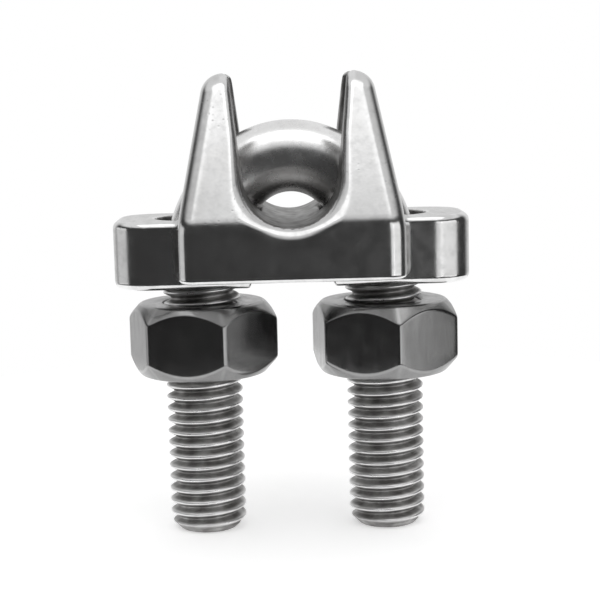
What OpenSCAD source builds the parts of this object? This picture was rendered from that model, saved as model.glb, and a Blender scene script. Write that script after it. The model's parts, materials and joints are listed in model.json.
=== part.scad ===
// Wire rope clip for 13 mm (1/2 in) rope: a saddle, a U-bolt and two hexagon nuts.
// Origin: the centre of the rope seat. The rope lies along Y, the lugs spread along X
// and the legs of the U-bolt point down, along -Z.

/* [Saddle] */
// Radius of the rope groove
seat_r = 7.7; // [7.4:0.1:7.9]
// Height of the groove bottom above the underside of the lugs
floor_h = 10.6; // [10.2:0.1:10.8]
// Length of the saddle along the rope
saddle_len = 44; // [40:0.5:48]
// Width of the base plate
plate_w = 35; // [34:0.2:36]
// Height of the underside of the plate above the underside of the lugs
plate_lift = 2.3; // [1.5:0.1:4]
// Height of the plate's upright end faces above the underside of the lugs
band_h = 11.4; // [11:0.2:14]
// Height of the horn tips above the underside of the lugs
tip_h = 34.4; // [33:0.2:38]
// Distance between the outer faces of two horns at their tips
tip_span = 27.6; // [27.6:0.2:29]
// Distance between the inner faces of two horns at their tips
mouth_w = 18.8; // [17.8:0.2:18.8]
// Distance between the sloping faces of the front and rear horns at their tips
crest_len = 22; // [20:0.5:26]
// Radius of a horn tip's outer shoulder
tip_r = 3; // [2:0.1:3]
// Radius of a horn tip's inner shoulder
tip_inner_r = 1.3; // [0.8:0.1:1.3]
// Height of the bevel at the front and rear ends of a horn tip
crest_bevel = 2.3; // [1.5:0.1:2.6]
// Bevel of the plate's lower edges
foot_bevel = 1.2; // [0.4:0.2:2]
// Gap between the raised pads under the plate
pad_gap = 13.2; // [12:0.2:14]

/* [Lugs] */
// Distance between the outer ends of the two lugs
lug_span = 58; // [57:0.5:60]
// Width of a lug along the rope
lug_w = 19.6; // [18:0.2:22]
// Thickness of a lug
lug_t = 11; // [10:0.2:12]
// Corner radius of a lug's outer end
lug_corner = 6.5; // [4:0.5:9]
// Bevel round the underside of a lug
lug_bevel = 0.8; // [0.4:0.1:1.6]

/* [U-bolt] */
// Outer diameter of the threaded legs
thread_d = 12.7; // [12.6:0.05:12.8]
// Diameter of the plain bar that forms the bow
bar_d = 11.8; // [11.4:0.1:12.4]
// Distance between the centres of the two legs
leg_pitch = 30.2; // [30:0.1:30.6]
// Radius of the crown of the bow, at the middle of the bar
crown_r = 12.1; // [11.9:0.1:12.3]
// Height of the crown's underside above the groove bottom
bow_gap = 4.2; // [4:0.1:5]
// Depth of the leg ends below the underside of the lugs
leg_drop = 41.4; // [38:0.2:46]
// Bevel of the leg ends
end_bevel = 1.6; // [1:0.1:2.5]
// Radial clearance round the bar and the legs in the saddle
bar_gap = 0.7; // [0.5:0.05:0.9]

/* [Nuts] */
// Width of a nut across its flats
nut_af = 22.2; // [21:0.1:23]
// Thickness of a nut
nut_t = 12; // [11:0.1:12.4]
// Diameter of the flat ring on each face of a nut
nut_face_d = 20.6; // [19:0.1:21]
// Height of the bevel at a nut's corners
nut_bevel = 2.8; // [1.2:0.1:3]
// Gap between the left nut and the underside of its lug
left_gap = 3; // [1:0.1:8]
// Gap between the right nut and the underside of its lug
right_gap = 3.4; // [1:0.1:8]
// Radial clearance between a nut's bore and the leg
thread_gap = 0.07; // [0.03:0.01:0.1]
// Turn of the left nut's nearest corner from the X axis, in degrees
left_turn = -12; // [-30:1:30]
// Turn of the right nut's nearest corner from the X axis, in degrees
right_turn = -22; // [-30:1:30]

/* [Hidden] */
$fn = 96;
eps = 0.01;
far = 60;

// heights, from the origin
lug_z = -(floor_h + seat_r);
plate_z = lug_z + plate_lift;
band_z = lug_z + band_h;
tip_z = lug_z + tip_h;
leg_end_z = lug_z - leg_drop;

// the bow: a crown arc that runs tangent into two wider flank arcs. The arcs meet on lines
// from the crown's centre whose run, rise and length are as 3, 4 and 5.
leg_x = leg_pitch / 2;
bar_r = bar_d / 2;
thread_r = thread_d / 2;
join_dir = [0.6, 0.8];
centre_step = (leg_x - crown_r) / (1 - join_dir.x);
flank_r = crown_r + centre_step;
crown_z = -seat_r + bow_gap + bar_r - crown_r;
flank_x = -centre_step * join_dir.x;
flank_z = crown_z - centre_step * join_dir.y;

// the thread ends a little below the bend, in a short cone
thread_top_z = flank_z - 0.8;
thread_runout = thread_r - bar_r;

slot_half = thread_r + bar_gap;
hex_r = nut_af / sqrt(3);

// half of the saddle seen along the rope: plate, then a horn that narrows to a round tip
module front_half() {
    outer_x = tip_span / 2 - tip_r;
    inner_x = mouth_w / 2 + tip_inner_r;
    difference() {
        union() {
            polygon([
                [-eps, plate_z],
                [plate_w / 2 - foot_bevel, plate_z],
                [plate_w / 2, plate_z + foot_bevel],
                [plate_w / 2, band_z],
                [tip_span / 2, tip_z - tip_r],
                [outer_x, tip_z - tip_r],
                [outer_x, tip_z],
                [inner_x, tip_z],
                [inner_x, tip_z - tip_inner_r],
                [mouth_w / 2, tip_z - tip_inner_r],
                [seat_r, 0],
                [-eps, 0]
            ]);
            translate([inner_x, tip_z - tip_inner_r])
                circle(tip_inner_r);
            translate([outer_x, tip_z - tip_r])
                intersection() {
                    circle(tip_r);
                    square(tip_r);
                }
        }
        circle(seat_r);
    }
}

// half of the saddle seen across the rope: upright end face, sloping face, bevelled tip
module side_half() {
    tip_y = crest_len / 2;
    polygon([
        [-eps, plate_z],
        [saddle_len / 2 - foot_bevel, plate_z],
        [saddle_len / 2, plate_z + foot_bevel],
        [saddle_len / 2, band_z],
        [tip_y, tip_z - crest_bevel],
        [tip_y - crest_bevel, tip_z],
        [-eps, tip_z]
    ]);
}

// both halves of an outline, stood upright and given a depth along Y
module upright(depth) {
    rotate([90, 0, 0])
        translate([0, 0, -depth / 2])
            linear_extrude(depth) {
                children();
                mirror([1, 0]) children();
            }
}

// the plate and its four horns
module horned_plate() {
    intersection() {
        upright(saddle_len) front_half();
        rotate([0, 0, 90]) upright(far) side_half();
    }
}

// outline of both lugs seen from above
module lug_plan() {
    end_x = lug_span / 2 - lug_corner;
    corner_y = lug_w / 2 - lug_corner;
    square([2 * end_x, lug_w], center = true);
    square([lug_span, 2 * corner_y], center = true);
    for (x = [-end_x, end_x], y = [-corner_y, corner_y])
        translate([x, y]) circle(lug_corner);
}

// half of a lug's upright section, with its lower edge bevelled
module lug_section(half_width) {
    polygon([
        [-eps, lug_z],
        [half_width - lug_bevel, lug_z],
        [half_width, lug_z + lug_bevel],
        [half_width, lug_z + lug_t],
        [-eps, lug_z + lug_t]
    ]);
}

module lugs() {
    intersection() {
        translate([0, 0, lug_z]) linear_extrude(lug_t) lug_plan();
        upright(lug_w) lug_section(lug_span / 2);
        rotate([0, 0, 90]) upright(lug_span) lug_section(lug_w / 2);
    }
}

// space over the bridge that the bow needs, seen along the rope
module bow_space() {
    difference() {
        translate([0, lug_z - 1])
            square([leg_x, tip_z - lug_z + 2]);
        arch_inside();
    }
}

// half of what lies inside the bow and between the legs, less the clearance
module arch_inside() {
    inner_crown = crown_r - bar_r - bar_gap;
    inner_flank = flank_r - bar_r - bar_gap;
    intersection() {
        union() {
            intersection() {
                translate([0, crown_z]) circle(inner_crown);
                translate([0, crown_z]) square(far);
            }
            intersection() {
                translate([flank_x, flank_z]) circle(inner_flank);
                translate([0, flank_z]) square([leg_x, inner_flank * join_dir.y]);
            }
            translate([0, lug_z - 2]) square([leg_x, flank_z - lug_z + 2]);
        }
        translate([0, lug_z - 2]) square([leg_x - slot_half, far]);
    }
}

module saddle() {
    color("silver")
    difference() {
        union() {
            horned_plate();
            lugs();
        }
        // rope groove
        rotate([90, 0, 0])
            translate([0, 0, -far / 2])
                cylinder(r = seat_r, h = far);
        translate([-seat_r, -far / 2, 0])
            cube([2 * seat_r, far, seat_r]);
        // gap between the pads that the nuts press on
        translate([-pad_gap / 2, -far / 2, lug_z - 1])
            cube([pad_gap, far, plate_lift + 1]);
        // slot between the front and rear horns, and a hole for each leg
        upright(2 * slot_half) bow_space();
        for (x = [-leg_x, leg_x])
            translate([x, 0, lug_z - 1])
                cylinder(r = slot_half, h = tip_z - lug_z + 2);
    }
}

// the stretch of a ring of bar, centred at a point of the XZ plane, between two directions
module bar_arc(centre, radius, from, to) {
    intersection() {
        translate([centre.x, 0, centre.y])
            rotate([90, 0, 0])
                rotate_extrude()
                    translate([radius, 0]) circle(bar_r);
        rotate([90, 0, 0])
            translate([0, 0, -bar_d])
                linear_extrude(2 * bar_d)
                    polygon([centre, centre + far * from, centre + far * to]);
    }
}

// a leg, from its end up to the bend: bevel, thread, run-out cone, plain bar
module leg() {
    thread_len = thread_top_z - leg_end_z;
    cylinder(r1 = thread_r - end_bevel, r2 = thread_r, h = end_bevel);
    translate([0, 0, end_bevel])
        cylinder(r = thread_r, h = thread_len - end_bevel);
    translate([0, 0, thread_len])
        cylinder(r1 = thread_r, r2 = bar_r, h = thread_runout);
    translate([0, 0, thread_len])
        cylinder(r = bar_r, h = flank_z - thread_top_z);
}

module u_bolt() {
    join_left = [-join_dir.x, join_dir.y];
    color("slategray") {
        bar_arc([flank_x, flank_z], flank_r, [1, 0], join_dir);
        bar_arc([0, crown_z], crown_r, join_dir, join_left);
        bar_arc([-flank_x, flank_z], flank_r, join_left, [-1, 0]);
        for (x = [-leg_x, leg_x])
            translate([x, 0, leg_end_z]) leg();
    }
}

// a hexagon nut with bevelled corners and a plain bore, its lower face at the origin
module nut() {
    face_r = nut_face_d / 2;
    difference() {
        intersection() {
            cylinder(r = hex_r, h = nut_t, $fn = 6);
            rotate_extrude()
                polygon([
                    [0, 0],
                    [face_r, 0],
                    [hex_r, nut_bevel],
                    [hex_r, nut_t - nut_bevel],
                    [face_r, nut_t],
                    [0, nut_t]
                ]);
        }
        translate([0, 0, -1])
            cylinder(r = thread_r + thread_gap, h = nut_t + 2);
    }
}

module left_nut() {
    color("dimgray")
        translate([-leg_x, 0, lug_z - left_gap - nut_t])
            rotate([0, 0, left_turn]) nut();
}

module right_nut() {
    color("dimgray")
        translate([leg_x, 0, lug_z - right_gap - nut_t])
            rotate([0, 0, right_turn]) nut();
}

saddle();
u_bolt();
left_nut();
right_nut();
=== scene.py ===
"""Looks of the wire rope clip: a satin cast saddle, a threaded U-bolt and two hexagon nuts.

Shapes are worked out in millimetres in the row frame (origin at the middle of the rope seat,
the rope along Y, the nuts below) and stored in metres. Overall places come from the CAD frame.
"""
import json
import math

import bpy
import numpy as np
import openvdb
from mathutils import Matrix, Vector


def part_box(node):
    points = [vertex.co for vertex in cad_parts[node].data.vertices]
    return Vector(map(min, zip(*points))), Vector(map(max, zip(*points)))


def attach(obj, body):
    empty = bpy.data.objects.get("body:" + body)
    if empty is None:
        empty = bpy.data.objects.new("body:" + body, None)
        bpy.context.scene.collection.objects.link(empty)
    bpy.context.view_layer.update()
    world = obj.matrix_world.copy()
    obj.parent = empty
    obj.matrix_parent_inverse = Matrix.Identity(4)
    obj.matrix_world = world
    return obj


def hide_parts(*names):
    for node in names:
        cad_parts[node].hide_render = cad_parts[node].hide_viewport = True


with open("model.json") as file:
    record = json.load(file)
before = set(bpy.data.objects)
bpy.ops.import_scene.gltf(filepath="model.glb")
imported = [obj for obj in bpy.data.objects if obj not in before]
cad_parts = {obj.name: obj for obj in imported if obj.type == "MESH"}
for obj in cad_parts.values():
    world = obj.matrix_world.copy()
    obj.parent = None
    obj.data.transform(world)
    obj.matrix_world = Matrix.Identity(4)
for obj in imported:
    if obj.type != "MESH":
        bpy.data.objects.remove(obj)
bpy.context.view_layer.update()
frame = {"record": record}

MM = 0.001
record = frame["record"]


# ---------------------------------------------------------------- sizes, in millimetres

def box_mm(node):
    """Lowest and highest corner of a CAD node, in millimetres."""
    low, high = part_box(node)
    return np.array(low) / MM, np.array(high) / MM


saddle_low, saddle_high = box_mm("saddle")
bolt_low, bolt_high = box_mm("u_bolt")
rope_seat = next(m for m in record["mounts"] if m["name"] == "rope_seat")
screw = next(c for c in record["behaviour"]["couplings"] if c["joint"] == "left_nut_turn")

# saddle: lugs and pads at the bottom, then the plate, its upright band and the horns
LUG_Z, TIP_Z = saddle_low[2], saddle_high[2]
HALF_SPAN, HALF_LENGTH = saddle_high[0], saddle_high[1]
SEAT_R = rope_seat["dims"]["r_mm"]
PLATE_LIFT, BAND_H = 2.3, 11.4        # underside and top of the upright band, above the pads
PLATE_Z, BAND_Z = LUG_Z + PLATE_LIFT, LUG_Z + BAND_H
PLATE_HALF = 17.5                     # half the plate's width, across the rope
TIP_HALF, MOUTH_HALF = 13.8, 9.4      # outer and inner half width at the horn tips
CREST_HALF, CREST_BEVEL = 11.0, 2.3   # where the end slopes stop: half length, drop from the tips
TIP_R = 3.0
PAD_INNER = 6.6
LUG_HALF, LUG_T, LUG_CORNER = 9.8, 11.0, 6.5

# roundings of the casting
BEND = 0.5
CORNER_R = 2.8
SEAT_LIP_R = 2.4
HORN_LIP_R = 1.2
FOOT_R = 0.7
LUG_EDGE_R = 1.2
SLOT_EDGE_R = 0.7
ROOT_FILLET_R = 1.4

# U-bolt
THREAD_R = bolt_high[1]
LEG_X = bolt_high[0] - THREAD_R
LEG_END_Z = bolt_low[2]
BAR_R = 5.9
CROWN_R = 12.1
JOIN = np.array([0.6, 0.8])
FLANK_R = CROWN_R + (LEG_X - CROWN_R) / (1 - JOIN[0])
CROWN_Z = bolt_high[2] - BAR_R - CROWN_R
FLANK_X, FLANK_Z = np.array([0, CROWN_Z]) - (FLANK_R - CROWN_R) * JOIN
END_BEVEL = 1.6
BAR_GAP = 0.7
SLOT_HALF = THREAD_R + BAR_GAP
BAR_COLUMNS = 80
END_RINGS = (0.96, 0.8, 0.5, 0.2)     # rings on a leg's flat end, as parts of its radius

# screw thread
LEAD = 2 * math.pi / abs(screw["ratio"]) / MM
THREAD_DEPTH = 1.2
THREAD_FILL = 0.56                    # over 0.5, so crests and roots are a little flat
THREAD_GAP = 0.1
THREAD_TOP_Z = FLANK_Z - 0.8
THREAD_RUN_OUT = 3.0
THREAD_SHADE_SHIFT = -0.35             # shifts the thread into painted shade: crests a little darkened, roots darkest

# nuts
NUT_FLAT = 11.1
NUT_FACE_R = 10.3                     # flat ring on each end
NUT_BEVEL = 2.8                       # height of the bevel at the corners
NUT_MINOR_R = 5.45
COUNTERSINK_R = 6.75
BEARING_R = 8.4                       # a ring of points on each end face
NUT_EDGE = 0.45                       # how far from an edge its rounding starts
HEX_SHARPNESS = 70                    # higher for sharper corners between the sides
NUT_COLUMNS, BORE_ROWS = 216, 90
NUT_TURNS = {"left_nut": -12.0, "right_nut": -22.0}


# ---------------------------------------------------------------- mesh helpers

def add_piece(name, points, faces, wear_and_shade, node, material):
    """A smooth mesh from points in millimetres, with a wear_and_shade value at each point.

    wear_and_shade is 1 on a proud edge that rubs bright, 0 on a plain face and -1 in deep hollows,
    which get painted shade.
    """
    mesh = bpy.data.meshes.new(name)
    mesh.from_pydata((np.asarray(points) * MM).tolist(), [], np.asarray(faces, dtype=object).tolist())
    mesh.attributes.new("wear_and_shade", "FLOAT", "POINT").data.foreach_set(
        "value", np.clip(wear_and_shade, -1, 1).astype(np.float32))
    mesh.shade_smooth()
    mesh.materials.append(material)
    piece = bpy.data.objects.new(name, mesh)
    bpy.context.scene.collection.objects.link(piece)
    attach(piece, node)
    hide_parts(node)
    return piece


def grid_faces(rows, columns, closed_rows):
    """Quads of a grid whose columns run round; its rows close up too if closed_rows."""
    row = np.arange(rows if closed_rows else rows - 1)[:, None]
    column = np.arange(columns)[None, :]
    next_row, next_column = (row + 1) % rows, (column + 1) % columns
    corners = (row * columns + column, row * columns + next_column,
               next_row * columns + next_column, next_row * columns + column)
    return np.stack(corners, axis=-1).reshape(-1, 4)


# ---------------------------------------------------------------- saddle

def meet(a, b, r):
    """Distance outside the overlap of two solids, with their shared edge rounded to r."""
    return np.minimum(np.maximum(a, b), -r) + np.hypot(np.maximum(a + r, 0), np.maximum(b + r, 0))


def join(a, b, r):
    """Distance outside two solids together, with a fillet of radius r between them."""
    return -meet(-a, -b, r)


def bend(a, b, softness):
    """Distance outside the overlap of two solids that meet at a blunt bend."""
    return np.maximum(a, b) + np.maximum(softness - np.abs(a - b), 0) ** 2 / (4 * softness)


def beyond(u, v, start, end):
    """Distance to the right of the line from start to end."""
    run, rise = end[0] - start[0], end[1] - start[1]
    return ((u - start[0]) * rise - (v - start[1]) * run) / math.hypot(run, rise)


def horned_block(a, b, z):
    """The plate with its horns, before the groove is cut."""
    crest, shoulder = TIP_Z - CREST_BEVEL, TIP_Z - TIP_R
    ends = bend(b - HALF_LENGTH, beyond(b, z, (HALF_LENGTH, BAND_Z), (CREST_HALF, crest)), BEND)
    sides = bend(a - PLATE_HALF, beyond(a, z, (PLATE_HALF, BAND_Z), (TIP_HALF, shoulder)), BEND)
    arched = meet(sides, z - TIP_Z, TIP_R)
    return meet(meet(arched, ends, CORNER_R), PLATE_Z - z, FOOT_R)


def lug(a, b, z):
    """A lug with a round-cornered end, and the pad under it that a nut presses on."""
    out_x = a - HALF_SPAN + LUG_CORNER
    out_y = b - LUG_HALF + LUG_CORNER
    plan = np.hypot(np.maximum(out_x, 0), np.maximum(out_y, 0)) - LUG_CORNER
    plan = plan + np.minimum(np.maximum(out_x, out_y), 0)
    slab = meet(plan, np.abs(z - LUG_Z - LUG_T / 2) - LUG_T / 2, LUG_EDGE_R)
    return meet(slab, PAD_INNER - a, SLOT_EDGE_R)


def groove(a, z):
    """The round rope seat, whose walls lean out towards the horn tips."""
    lean = math.atan2(MOUTH_HALF - SEAT_R, TIP_Z)
    up_wall = a * math.sin(lean) + z * math.cos(lean) > 0
    off_wall = a * math.cos(lean) - z * math.sin(lean)
    return np.where(up_wall, off_wall, np.hypot(a, z)) - SEAT_R


def bow_slot(a, b, z):
    """The space between the front and rear horns, and through the lugs, that the U-bolt needs."""
    in_crown = a * JOIN[1] < (z - CROWN_Z) * JOIN[0]
    off_crown = np.hypot(a, z - CROWN_Z) - (CROWN_R - BAR_R - BAR_GAP)
    off_flank = np.hypot(a - FLANK_X, np.maximum(z - FLANK_Z, 0)) - (FLANK_R - BAR_R - BAR_GAP)
    off_bridge = np.maximum(np.where(in_crown, off_crown, off_flank), a - LEG_X + SLOT_HALF)
    track = np.hypot(np.maximum(a - LEG_X, 0), b) - SLOT_HALF
    return meet(track, -off_bridge, SLOT_EDGE_R)


def saddle_distance(points):
    """Distance outside the saddle, negative inside it."""
    a, b, z = np.abs(points[..., 0]), np.abs(points[..., 1]), points[..., 2]
    solid = join(horned_block(a, b, z), lug(a, b, z), ROOT_FILLET_R)
    # the groove's lip is widest low in the seat and narrows up the horns
    lip_change = 0.8 * SEAT_R
    up_horn = np.clip((z + lip_change) / (2 * lip_change), 0, 1)
    solid = meet(solid, -groove(a, z), SEAT_LIP_R + up_horn * (HORN_LIP_R - SEAT_LIP_R))
    return meet(solid, -bow_slot(a, b, z), SLOT_EDGE_R)


def slopes(distance, points, step):
    """Gradient and Laplacian of a distance at the points."""
    here = distance(points)
    gradient = np.empty_like(points)
    laplacian = np.zeros(len(points))
    for axis in range(3):
        shift = np.zeros(3)
        shift[axis] = step
        ahead, behind = distance(points + shift), distance(points - shift)
        gradient[:, axis] = (ahead - behind) / (2 * step)
        laplacian += (ahead + behind - 2 * here) / step ** 2
    return here, gradient, laplacian


def saddle_skin(step):
    """Points and faces over the saddle, first from a voxel grid, then pulled onto its surface."""
    margin = 4 * step
    axes = [np.arange(saddle_low[i] - margin, saddle_high[i] + margin, step) for i in range(3)]
    field = saddle_distance(np.stack(np.meshgrid(*axes, indexing="ij"), axis=-1))
    band = 3 * step
    grid = openvdb.FloatGrid(band)
    grid.copyFromArray(np.clip(field, -band, band).astype(np.float32))
    points, faces = grid.convertToQuads(0.0)
    points = points.astype(float) * step + np.array([axis[0] for axis in axes])
    pulls, probe, least_slope = 4, 0.02, 0.2
    for _ in range(pulls):
        off, gradient, _ = slopes(saddle_distance, points, probe)
        steepness = np.maximum((gradient ** 2).sum(axis=1), least_slope)
        points -= gradient * (off / steepness)[:, None]
    return points, faces[:, ::-1]


def saddle_wear_and_shade(points):
    """Bright on worn proud edges; painted shade (a darker colour) and duller gloss in concave spots
    and all over the groove and slot.
    """
    probe, worn_curvature, seat_or_slot_margin = 0.4, 0.9, 0.25
    edge = slopes(saddle_distance, points, probe)[2] / worn_curvature
    a, b, z = np.abs(points[:, 0]), np.abs(points[:, 1]), points[:, 2]
    off_seat_or_slot = np.minimum(np.abs(groove(a, z)), np.abs(bow_slot(a, b, z)))
    # the groove and the slot under the bow take full painted shade
    return np.where(off_seat_or_slot < seat_or_slot_margin, -1, edge)


def build_saddle(material):
    """The cast saddle as one closed skin."""
    points, faces = saddle_skin(0.3)
    wear_and_shade = saddle_wear_and_shade(points)
    return add_piece("cast_saddle", points, faces, wear_and_shade, "saddle", material)


# ---------------------------------------------------------------- screw thread

def thread_height(z, turn):
    """Height of the right-hand thread, 0 in a root and 1 on a crest, at an angle round the leg."""
    phase = (z - LEG_END_Z) / LEAD - turn / (2 * math.pi)
    return np.clip(0.5 + THREAD_FILL * np.cos(2 * math.pi * phase), 0, 1)


def leg_radius(z, turn):
    """Radius of a leg: bevelled end, thread, and a run-out into the plain bar."""
    fade = np.clip((z - THREAD_TOP_Z + THREAD_RUN_OUT) / THREAD_RUN_OUT, 0, 1)
    root = THREAD_R - THREAD_DEPTH
    floor = root + fade * (BAR_R - root)
    threaded = np.maximum(root + THREAD_DEPTH * thread_height(z, turn), floor)
    crest = np.clip(THREAD_R - (z - THREAD_TOP_Z), BAR_R, THREAD_R)
    bevel = THREAD_R - END_BEVEL + np.maximum(z - LEG_END_Z, 0)
    return np.minimum(threaded, np.minimum(crest, bevel))


# ---------------------------------------------------------------- U-bolt

def arc_rings(centre, radius, angles):
    """Middle and outward direction of the rings along an arc of the bow."""
    outs = [np.array([math.cos(angle), math.sin(angle)]) for angle in angles]
    return [(np.array(centre) + radius * out, out) for out in outs]


def bow_rings():
    """Middle (x, z) and outward direction (x, z) of the rings from one leg's end to the other's."""
    rings_per_turn = 14
    leg_rings = int((FLANK_Z - LEG_END_Z) / LEAD * rings_per_turn)
    flank_rings, crown_rings = 28, 45
    heights = np.linspace(LEG_END_Z, FLANK_Z, leg_rings, endpoint=False)
    join_angle = math.atan2(JOIN[1], JOIN[0])
    flank_angles = np.linspace(math.pi, math.pi - join_angle, flank_rings, endpoint=False)
    crown_angles = np.linspace(math.pi - join_angle, join_angle, crown_rings)
    rising = [((-LEG_X, z), (-1.0, 0.0)) for z in heights]
    rising += arc_rings((-FLANK_X, FLANK_Z), FLANK_R, flank_angles)
    crown = arc_rings((0, CROWN_Z), CROWN_R, crown_angles)
    falling = [((-m[0], m[1]), (-o[0], o[1])) for m, o in reversed(rising)]
    rings = rising + crown + falling
    return np.array([r[0] for r in rings]), np.array([r[1] for r in rings])


def bar_surface(middle, out):
    """Points round each ring of the bar, and their wear_and_shade values, with painted shade on the
    thread.
    """
    angle = np.linspace(0, 2 * math.pi, BAR_COLUMNS, endpoint=False)[None, :]
    turn = np.where(middle[:, :1] > 0, angle, math.pi - angle)
    on_leg = middle[:, 1:] <= FLANK_Z
    radius = np.where(on_leg, leg_radius(middle[:, 1:], turn), BAR_R)
    off = radius * np.cos(angle)
    tube = np.stack([middle[:, :1] + off * out[:, :1], radius * np.sin(angle),
                     middle[:, 1:] + off * out[:, 1:]], axis=-1)
    threaded = middle[:, 1:] < THREAD_TOP_Z
    # painted shade over the thread, darkest in its roots
    wear_and_shade = np.where(threaded, (radius - THREAD_R) / THREAD_DEPTH + THREAD_SHADE_SHIFT, 0)
    return tube, wear_and_shade


def flat_end(rim, centre):
    """Rings on a leg's flat end, from its rim towards the middle."""
    return np.stack([centre + (rim - centre) * part for part in END_RINGS])


def build_u_bolt(material):
    """The bow and its two threaded legs as one closed tube."""
    tube, wear_and_shade = bar_surface(*bow_rings())
    left, right = np.array([[-LEG_X, 0, LEG_END_Z], [LEG_X, 0, LEG_END_Z]])
    rings = np.concatenate([flat_end(tube[0], left)[::-1], tube, flat_end(tube[-1], right)])
    plain = np.zeros((len(END_RINGS), BAR_COLUMNS))
    wear_and_shade = np.concatenate([plain, wear_and_shade, plain]).ravel()
    points = np.concatenate([rings.reshape(-1, 3), [left, right]])

    # a fan of triangles closes each end
    last_ring = (len(rings) - 1) * BAR_COLUMNS
    left_middle = len(rings) * BAR_COLUMNS
    right_middle = left_middle + 1
    faces = grid_faces(len(rings), BAR_COLUMNS, False).tolist()
    for i in range(BAR_COLUMNS):
        j = (i + 1) % BAR_COLUMNS
        faces.append([left_middle, j, i])
        faces.append([right_middle, last_ring + i, last_ring + j])
    wear_and_shade = np.append(wear_and_shade, [0, 0])
    return add_piece("bow_and_legs", points, faces, wear_and_shade, "u_bolt", material)


# ---------------------------------------------------------------- nuts

def soft_corner(before, corner, after, setback, steps):
    """Points of a curve that rounds off a corner, starting and ending setback away from it."""
    to_before, to_after = before - corner, after - corner
    start = corner + to_before * (setback / np.linalg.norm(to_before, axis=-1, keepdims=True))
    end = corner + to_after * (setback / np.linalg.norm(to_after, axis=-1, keepdims=True))
    return [(1 - t) ** 2 * start + 2 * t * (1 - t) * corner + t ** 2 * end
            for t in np.linspace(0, 1, steps)]


def hexagon_radius(turn, flats):
    """Distance from a nut's middle to its sides, seen from above, with slightly soft corners."""
    facing = np.maximum(np.cos(turn[:, None] - flats[None, :]), 0) / NUT_FLAT
    return (facing ** HEX_SHARPNESS).sum(axis=1) ** (-1 / HEX_SHARPNESS)


def nut_ring(r, z):
    """A ring of (radius, height), from numbers or from one value for each column."""
    full = np.ones(NUT_COLUMNS)
    return np.stack([r * full, z * full], axis=-1)


def nut_outside(side_r, bottom, top):
    """Rings over the outside of a nut, from top to bottom, and their wear."""
    corner_r = NUT_FLAT / math.cos(math.pi / 6)
    drop = (side_r - NUT_FACE_R) * NUT_BEVEL / (corner_r - NUT_FACE_R)
    outline = [nut_ring(COUNTERSINK_R, top), nut_ring(NUT_FACE_R, top),
               nut_ring(side_r, top - drop), nut_ring(side_r, bottom + drop),
               nut_ring(NUT_FACE_R, bottom), nut_ring(COUNTERSINK_R, bottom)]
    rings, wears = [outline[0], nut_ring(BEARING_R, top)], [0.3, 0]
    for i in range(1, 5):
        curve = soft_corner(outline[i - 1], outline[i], outline[i + 1], NUT_EDGE, 5)
        rings += curve
        wears += [0.1, 0.6, 1, 0.6, 0.1]
        if i == 2:
            side_end = nut_ring(side_r, bottom + drop + NUT_EDGE)
            rings += [curve[-1] * (1 - t) + side_end * t for t in (0.25, 0.5, 0.75)]
            wears += [0, 0, 0]
    rings += [nut_ring(BEARING_R, bottom), outline[5]]
    wears += [0, 0.3]

    # the corners between the sides rub bright too, but not the rings on the end faces
    wears = np.array(wears)[:, None]
    at_corner = np.clip((side_r / corner_r - 0.97) / 0.02, 0, 1)[None, :]
    wear_and_shade = np.maximum(wears, 0.8 * at_corner)
    wear_and_shade[[0, 1, -2, -1]] = wears[[0, 1, -2, -1]]
    return np.stack(rings), wear_and_shade


def nut_bore(turn, bottom, top):
    """Rings over the threaded bore, from bottom to top, countersunk at both ends, and their painted
    shade, darkest in the thread's grooves.
    """
    depth = np.linspace(bottom, top, BORE_ROWS)[1:-1]
    z = depth[:, None] * np.ones(NUT_COLUMNS)[None, :]
    height = thread_height(z, turn[None, :])
    bore_r = THREAD_R - THREAD_DEPTH + THREAD_DEPTH * height + THREAD_GAP
    bore_r = np.maximum(bore_r, NUT_MINOR_R)
    bore_r = np.maximum(bore_r, COUNTERSINK_R - np.minimum(z - bottom, top - z))
    # painted shade in the bore, darkest in the thread's grooves
    return np.stack([bore_r, z], axis=-1), -height


def build_nut(name, node, material):
    """A hexagon nut as one closed skin, outside and threaded bore."""
    low, high = box_mm(node)
    centre_x = math.copysign(LEG_X, low[0] + high[0])
    turn = np.linspace(0, 2 * math.pi, NUT_COLUMNS, endpoint=False)
    flats = math.radians(NUT_TURNS[node] + 30) + np.arange(6) * math.pi / 3
    outside, outside_wear = nut_outside(hexagon_radius(turn, flats), low[2], high[2])
    bore, bore_shade = nut_bore(turn, low[2], high[2])
    rings = np.concatenate([outside, bore])
    wear_and_shade = np.concatenate([outside_wear, bore_shade]).ravel()
    points = np.stack([centre_x + rings[..., 0] * np.cos(turn),
                       rings[..., 0] * np.sin(turn), rings[..., 1]], axis=-1)
    faces = grid_faces(len(rings), NUT_COLUMNS, True)[:, ::-1]
    return add_piece(name, points.reshape(-1, 3), faces, wear_and_shade, node, material)


# ---------------------------------------------------------------- materials

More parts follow.
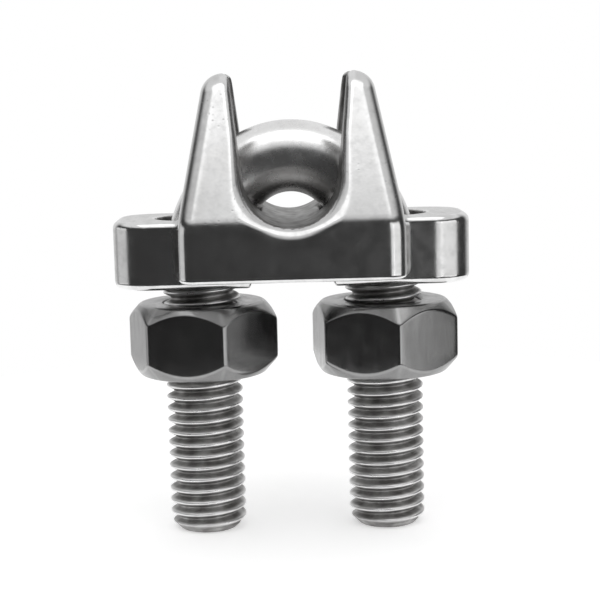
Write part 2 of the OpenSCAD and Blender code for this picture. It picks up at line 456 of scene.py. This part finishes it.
class Nodes:
    """Short calls for wiring a node tree."""

    def __init__(self, tree):
        self.tree = tree
        tree.nodes.clear()

    def add(self, kind, inputs=None, **settings):
        node = self.tree.nodes.new(kind)
        for key, value in settings.items():
            setattr(node, key, value)
        for key, value in (inputs or {}).items():
            if isinstance(value, bpy.types.NodeSocket):
                self.tree.links.new(value, node.inputs[key])
            else:
                node.inputs[key].default_value = value
        return node

    def noise(self, place, scale, detail=3.0, stretch=(1, 1, 1)):
        moved = self.add("ShaderNodeMapping", {"Vector": place, "Scale": stretch})
        return self.add("ShaderNodeTexNoise", {"Vector": moved.outputs[0], "Scale": scale,
                                               "Detail": detail}).outputs[0]

    def remap(self, value, low, high, to_low, to_high):
        return self.add("ShaderNodeMapRange", {"Value": value, "From Min": low, "From Max": high,
                                               "To Min": to_low, "To Max": to_high},
                        interpolation_type="SMOOTHSTEP").outputs[0]

    def math(self, operation, a, b):
        return self.add("ShaderNodeMath", {0: a, 1: b}, operation=operation).outputs[0]

    def mix(self, factor, a, b):
        return self.add("ShaderNodeMix", {0: factor, 6: a, 7: b}, data_type="RGBA").outputs[2]


def grey(value, warmth=0.0):
    """A grey as a colour, a little redder than it is blue if it has warmth."""
    return (value * (1 + warmth), value, value * (1 - warmth), 1)


def steel_marks(n, place, brushed):
    """Textures that the colour, the gloss and the relief of a steel share."""
    mottle = n.noise(place, 140, 4)
    pit = n.add("ShaderNodeTexVoronoi", {"Vector": place, "Scale": 1100.0}).outputs["Distance"]
    return {"mottle": mottle, "cloud": n.noise(place, 420, 3),
            "brush": n.noise(place, 900, 4, brushed), "fine": n.noise(place, 2600, 3),
            "pit": n.math("MULTIPLY", n.remap(pit, 0.05, 0.25, 1.0, 0.0),
                          n.remap(mottle, 0.55, 0.68, 0.0, 1.0))}


def steel_colour(n, marks, proud, shaded_hollow, tone):
    """Mottled and brushed, darker in pits, with painted shade darkening the hollows, brighter on worn
    proud edges.
    """
    plain = n.mix(n.remap(marks["mottle"], 0.3, 0.7, 0.0, 1.0),
                  grey(tone * 0.93, 0.004), grey(tone * 1.05))
    brushed = n.mix(n.remap(marks["brush"], 0.42, 0.75, 0.0, 0.35), plain, grey(tone * 0.74))
    pitted = n.mix(n.math("MULTIPLY", marks["pit"], 0.3), brushed, grey(tone * 0.4, 0.02))
    # painted shade: hollows darkened towards a dark grey, unevenly with the cloud noise
    painted_shade = n.math("MULTIPLY", shaded_hollow, n.remap(marks["cloud"], 0.25, 0.7, 0.6, 0.95))
    with_painted_shade = n.mix(painted_shade, pitted, grey(tone * 0.22, 0.03))
    rubbed = n.math("MULTIPLY", proud, n.remap(marks["cloud"], 0.3, 0.65, 0.35, 0.9))
    return n.mix(rubbed, with_painted_shade, grey(min(1.0, tone * 1.3)))


def steel_roughness(n, marks, proud, shaded_hollow, rough):
    """Uneven gloss, glossier on proud edges and duller in hollows."""
    roughness = n.math("ADD", n.remap(marks["cloud"], 0.25, 0.75, rough - 0.02, rough + 0.03),
                       n.remap(marks["brush"], 0.35, 0.7, -0.015, 0.025))
    roughness = n.math("SUBTRACT", roughness, n.math("MULTIPLY", proud, 0.07))
    return n.math("ADD", roughness, n.math("MULTIPLY", shaded_hollow, 0.2))


def steel_relief(n, marks, grain, pits):
    """Fine grain, brush marks and casting pits as a bump, in millimetres."""
    relief = n.math("ADD", n.math("MULTIPLY", marks["fine"], grain),
                    n.math("MULTIPLY", marks["brush"], grain * 1.4))
    relief = n.math("ADD", relief, n.math("MULTIPLY", marks["mottle"], grain * 1.2))
    relief = n.math("SUBTRACT", relief, n.math("MULTIPLY", marks["pit"], pits))
    return n.add("ShaderNodeBump", {"Height": relief, "Distance": MM, "Strength": 1.0}).outputs[0]


def steel(name, tone, rough, grain, brushed, pits):
    """Satin steel: mottled tone, fine grain, brush marks, bright worn edges, and hollows dulled and
    darkened by painted shade.

    tone and rough are the plain face's, grain the depth of the fine texture in millimetres,
    brushed the stretch of the brush marks along X, Y and Z, and pits the depth of casting pits.
    """
    material = bpy.data.materials.new(name)
    material.use_nodes = True
    n = Nodes(material.node_tree)
    place = n.add("ShaderNodeTexCoord").outputs["Object"]
    wear_and_shade = n.add("ShaderNodeAttribute", attribute_name="wear_and_shade").outputs["Fac"]
    marks = steel_marks(n, place, brushed)
    proud = n.remap(wear_and_shade, 0.25, 1.0, 0.0, 1.0)
    # mask for the painted shade and duller gloss in hollows
    shaded_hollow = n.remap(wear_and_shade, -0.15, -0.9, 0.0, 1.0)
    shader = n.add("ShaderNodeBsdfPrincipled", {
        "Base Color": steel_colour(n, marks, proud, shaded_hollow, tone),
        "Roughness": steel_roughness(n, marks, proud, shaded_hollow, rough),
        "Metallic": 1.0, "Normal": steel_relief(n, marks, grain, pits)})
    n.add("ShaderNodeOutputMaterial", {"Surface": shader.outputs[0]})
    return material


# ---------------------------------------------------------------- studio

def build_floor():
    """A plain pale round table under the legs' ends, lit a little from within so it reads white."""
    radius, back, columns, glow = 120 * MM, 50 * MM, 96, 0.44
    angles = np.linspace(0, 2 * math.pi, columns, endpoint=False)
    points = [(radius * math.cos(t), back + radius * math.sin(t), LEG_END_Z * MM) for t in angles]
    mesh = bpy.data.meshes.new("floor")
    mesh.from_pydata(points, [], [list(range(columns))])
    floor = bpy.data.objects.new("floor", mesh)
    bpy.context.scene.collection.objects.link(floor)
    paper = bpy.data.materials.new("floor_paper")
    paper.use_nodes = True
    n = Nodes(paper.node_tree)
    place = n.add("ShaderNodeTexCoord").outputs["Object"]
    tone = n.remap(n.noise(place, 300, 4), 0.3, 0.7, 0.0, 1.0)
    shader = n.add("ShaderNodeBsdfPrincipled", {
        "Base Color": n.mix(tone, grey(0.91), grey(0.92)), "Roughness": 0.9,
        "Specular IOR Level": 0.2, "Emission Color": grey(1.0), "Emission Strength": glow})
    n.add("ShaderNodeOutputMaterial", {"Surface": shader.outputs[0]})
    mesh.materials.append(paper)


def build_world():
    """A white sweep behind and above, and a darker room low in front."""
    world = bpy.data.worlds.new("studio")
    bpy.context.scene.world = world
    world.use_nodes = True
    n = Nodes(world.node_tree)
    towards = n.add("ShaderNodeTexCoord").outputs["Generated"]
    parts = n.add("ShaderNodeSeparateXYZ", {0: towards}).outputs
    low = n.remap(parts[2], 0.42, 0.66, 1.0, 0.0)
    before_sweep = n.remap(parts[1], 0.45, 0.85, 1.0, 0.0)
    shade = n.mix(n.math("MULTIPLY", low, before_sweep), grey(0.78), grey(0.045))
    room = n.add("ShaderNodeBackground", {"Color": shade, "Strength": 1.0})
    white = n.add("ShaderNodeBackground", {"Color": grey(1.0), "Strength": 1.0})
    seen = n.add("ShaderNodeLightPath").outputs["Is Camera Ray"]
    both = n.add("ShaderNodeMixShader", {0: seen, 1: room.outputs[0], 2: white.outputs[0]})
    n.add("ShaderNodeOutputWorld", {"Surface": both.outputs[0]})


def add_softbox(name, place, size, watts):
    """A soft rectangular light at a place in metres, turned towards the clip."""
    target = (0, 0, -0.01)
    light = bpy.data.lights.new(name, "AREA")
    light.shape = "RECTANGLE"
    light.size, light.size_y = size
    light.energy = watts
    lamp = bpy.data.objects.new(name, light)
    lamp.location = place
    lamp.rotation_euler = (Vector(target) - Vector(place)).to_track_quat("-Z", "Y").to_euler()
    bpy.context.scene.collection.objects.link(lamp)


def build_camera():
    """Level with the horn tips, a little right of centre, looking slightly down."""
    place = Vector((-1.6, -254, 13.6)) * MM
    yaw, pitch, roll = math.radians(0.63), math.radians(7.9), math.radians(-1.44)
    ahead = Vector((math.sin(yaw) * math.cos(pitch), math.cos(yaw) * math.cos(pitch),
                    -math.sin(pitch)))
    right = ahead.cross(Vector((0, 0, 1))).normalized()
    up = right.cross(ahead)
    level = Matrix((right, up, -ahead)).transposed()
    camera = bpy.data.objects.new("camera", bpy.data.cameras.new("camera"))
    camera.data.sensor_width = 36
    camera.data.lens = 92.4
    camera.data.clip_start = 0.01
    camera.matrix_world = Matrix.Translation(place) @ (level @ Matrix.Rotation(roll, 3, "Z")).to_4x4()
    bpy.context.scene.collection.objects.link(camera)
    bpy.context.scene.camera = camera


build_camera()
build_saddle(steel("saddle_satin", tone=0.66, rough=0.21, grain=0.004, brushed=(1, 0.2, 1),
                   pits=0.02))
build_u_bolt(steel("bolt_satin", tone=0.92, rough=0.25, grain=0.004, brushed=(1, 1, 1),
                   pits=0.012))
nut_material = steel("nut_satin", tone=0.29, rough=0.22, grain=0.003, brushed=(1, 1, 0.15),
                     pits=0.01)
build_nut("left_hex_nut", "left_nut", nut_material)
build_nut("right_hex_nut", "right_nut", nut_material)
build_floor()
build_world()
add_softbox("softbox_above", (0, -0.14, 0.4), size=(0.5, 0.3), watts=0.35)
add_softbox("card_right", (0.39, -0.25, -0.03), size=(0.42, 0.3), watts=0.42)
add_softbox("card_front_right", (0.2, -0.4, -0.03), size=(0.14, 0.3), watts=0.13)
add_softbox("card_left", (-0.45, 0.08, -0.03), size=(0.36, 0.25), watts=0.2)
bpy.context.scene.view_settings.view_transform = "Standard"
